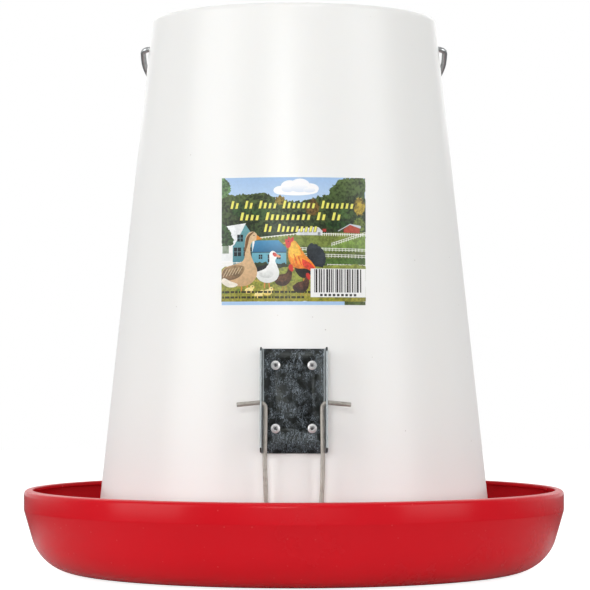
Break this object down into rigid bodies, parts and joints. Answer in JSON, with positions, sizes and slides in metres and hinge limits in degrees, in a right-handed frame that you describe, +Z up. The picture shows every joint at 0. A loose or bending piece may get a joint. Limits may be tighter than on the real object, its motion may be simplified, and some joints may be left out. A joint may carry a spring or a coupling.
{
  "type": "hanging gravity poultry feeder",
  "caption": "Hanging gravity feeder: tapered white hopper over a round red tray, with wires and hole brackets that set its height, and a wire bail.",
  "frame": {"origin": "middle of the underside of the tray, on the surface it stands on", "axes": "+Z up along the hopper's axis; -Y is the front, where the label and the front bracket are; +X is right, seen from the front"},
  "size_m": [0.4064, 0.4064, 0.4167],
  "materials": {
    "red_poly": "glossy red moulded polyethylene with fine surface pits",
    "white_poly": "glossy off-white moulded polyethylene, slightly milky",
    "printed_label": null,
    "bail_wire": "zinc-plated round wire, soft shine",
    "galvanised_sheet": "dark galvanised sheet with fine scratched spangle",
    "spring_wire": "drawn spring-steel wire, satin grey",
    "rivet": "bright domed blind rivet",
    "rivet_stub": "broken steel pin end, dull",
    "backing_washer": "plain flat washer, lightly dulled"
  },
  "bodies": {
    "tray": {"tray": "red_poly", "front_wire_foot": "spring_wire", "rear_wire_foot": "spring_wire"},
    "hopper": {"hopper": "white_poly", "label": "printed_label", "front_bracket": "galvanised_sheet", "rear_bracket": "galvanised_sheet", "front_rivet_1": "rivet", "front_rivet_2": "rivet", "front_rivet_3": "rivet", "front_rivet_4": "rivet", "front_stub_1": "rivet_stub", "front_stub_2": "rivet_stub", "front_stub_3": "rivet_stub", "front_stub_4": "rivet_stub", "front_washer_1": "backing_washer", "front_washer_2": "backing_washer", "front_washer_3": "backing_washer", "front_washer_4": "backing_washer", "rear_rivet_1": "rivet", "rear_rivet_2": "rivet", "rear_rivet_3": "rivet", "rear_rivet_4": "rivet", "rear_stub_1": "rivet_stub", "rear_stub_2": "rivet_stub", "rear_stub_3": "rivet_stub", "rear_stub_4": "rivet_stub", "rear_washer_1": "backing_washer", "rear_washer_2": "backing_washer", "rear_washer_3": "backing_washer", "rear_washer_4": "backing_washer"},
    "bail": {"bail": "bail_wire"},
    "front_right_leg": {"front_wire_right_leg": "spring_wire"},
    "front_left_leg": {"front_wire_left_leg": "spring_wire"},
    "rear_right_leg": {"rear_wire_right_leg": "spring_wire"},
    "rear_left_leg": {"rear_wire_left_leg": "spring_wire"}
  },
  "joints": [
    {"name": "height_setting", "type": "slide", "parent": "tray", "child": "hopper", "axis": [0, 0, 1], "range_m": [-0.028, 0.028], "deforming": ["front_wire_left_leg", "front_wire_right_leg", "rear_wire_left_leg", "rear_wire_right_leg"]},
    {"name": "bail_swing", "type": "hinge", "parent": "hopper", "child": "bail", "pos_m": [0, 0, 0.3946], "axis": [1, 0, 0], "range_deg": [0, 244]},
    {"name": "front_wire_squeeze", "type": "hinge", "parent": "tray", "child": "front_right_leg", "pos_m": [0.0176, -0.1555, 0.0084], "axis": [0, -1, 0], "range_deg": [0, 8.75], "stiffness_Nm_per_rad": 6, "springref_deg": -2.86},
    {"name": "front_wire_squeeze_left", "type": "hinge", "parent": "tray", "child": "front_left_leg", "pos_m": [-0.0176, -0.1555, 0.0084], "axis": [0, 1, 0], "range_deg": [0, 8.75], "stiffness_Nm_per_rad": 6, "springref_deg": -2.86},
    {"name": "rear_wire_squeeze", "type": "hinge", "parent": "tray", "child": "rear_right_leg", "pos_m": [-0.0176, 0.1555, 0.0084], "axis": [0, 1, 0], "range_deg": [0, 8.75], "stiffness_Nm_per_rad": 6, "springref_deg": -2.86},
    {"name": "rear_wire_squeeze_left", "type": "hinge", "parent": "tray", "child": "rear_left_leg", "pos_m": [0.0176, 0.1555, 0.0084], "axis": [0, -1, 0], "range_deg": [0, 8.75], "stiffness_Nm_per_rad": 6, "springref_deg": -2.86}
  ],
  "couplings": [
    {"joint": "front_wire_squeeze_left", "follows": "front_wire_squeeze", "ratio": 1},
    {"joint": "rear_wire_squeeze_left", "follows": "rear_wire_squeeze", "ratio": 1}
  ]
}
